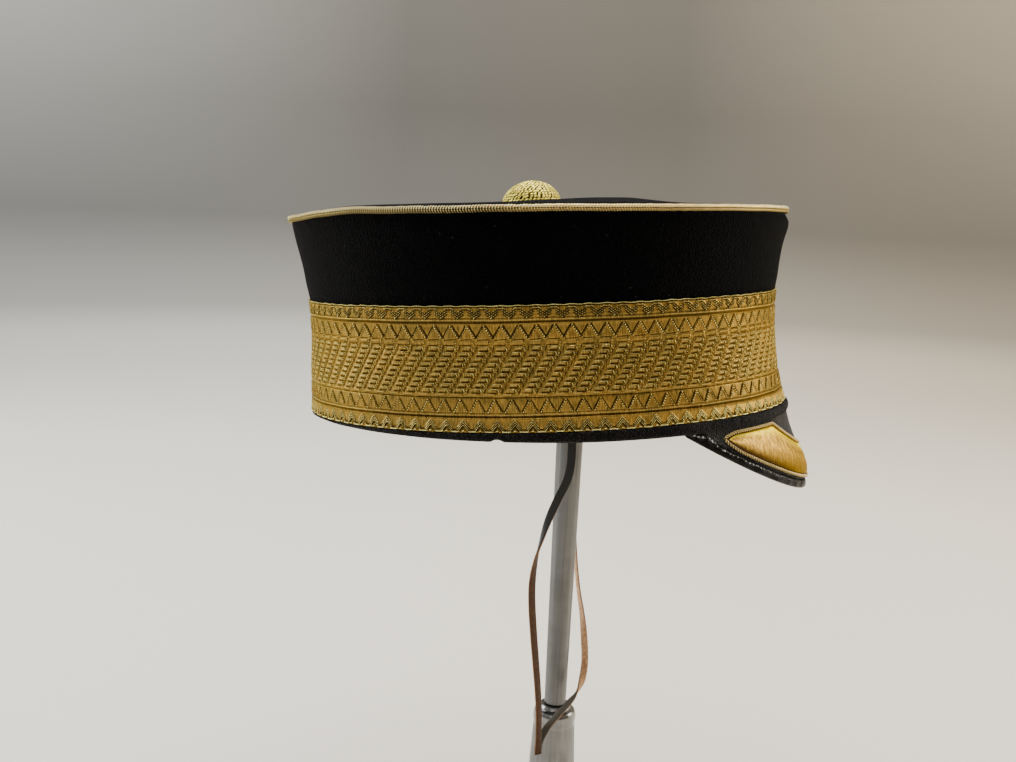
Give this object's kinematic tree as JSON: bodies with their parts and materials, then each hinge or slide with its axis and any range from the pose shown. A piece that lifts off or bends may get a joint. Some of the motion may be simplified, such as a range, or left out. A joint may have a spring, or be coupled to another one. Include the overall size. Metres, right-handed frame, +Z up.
{
  "type": "forage cap on stand",
  "caption": "Round cloth forage cap with gold lace band, braided seam, netted button, gold-worked leather-bound peak and chin strap, tilted on a plain steel display stand.",
  "frame": {"origin": "centre of the stand's round foot, on its underside", "axes": "+Z up along the stand's pole; the cap's peak points to -Y and the wearer's left side to +X"},
  "size_m": [0.1708, 0.2187, 0.3047],
  "materials": {
    "black_cloth": "milled wool cloth",
    "tip_cloth": "milled wool cloth",
    "welt_cloth": "folded wool cloth",
    "peak_cloth": "wool cloth over board",
    "gold_lace": "woven metal thread",
    "gold_braid": "braided metal thread",
    "gold_netting": "metal thread netting",
    "gold_satin": "padded metal thread embroidery",
    "gold_cord": "twisted metal thread",
    "patent_leather": "gloss patent",
    "strap_leather": "black patent face, plain brown back",
    "steel_foot": "satin",
    "steel_sleeve": "satin",
    "steel_collar": "polished",
    "steel_pole": "satin",
    "steel_head": "satin"
  },
  "bodies": {
    "root": {"crown_side": "black_cloth", "crown_tip": "tip_cloth", "crown_piping": "gold_braid", "top_button": "gold_netting", "lace_band": "gold_lace", "base_welt": "welt_cloth", "peak_body": "peak_cloth", "peak_binding": "patent_leather", "peak_embroidery": "gold_satin", "peak_edge_cord": "gold_cord", "chin_strap": "strap_leather", "stand_base": "steel_foot", "stand_sleeve": "steel_sleeve", "stand_collar": "steel_collar", "stand_pole": "steel_pole", "stand_head": "steel_head"}
  },
  "joints": []
}
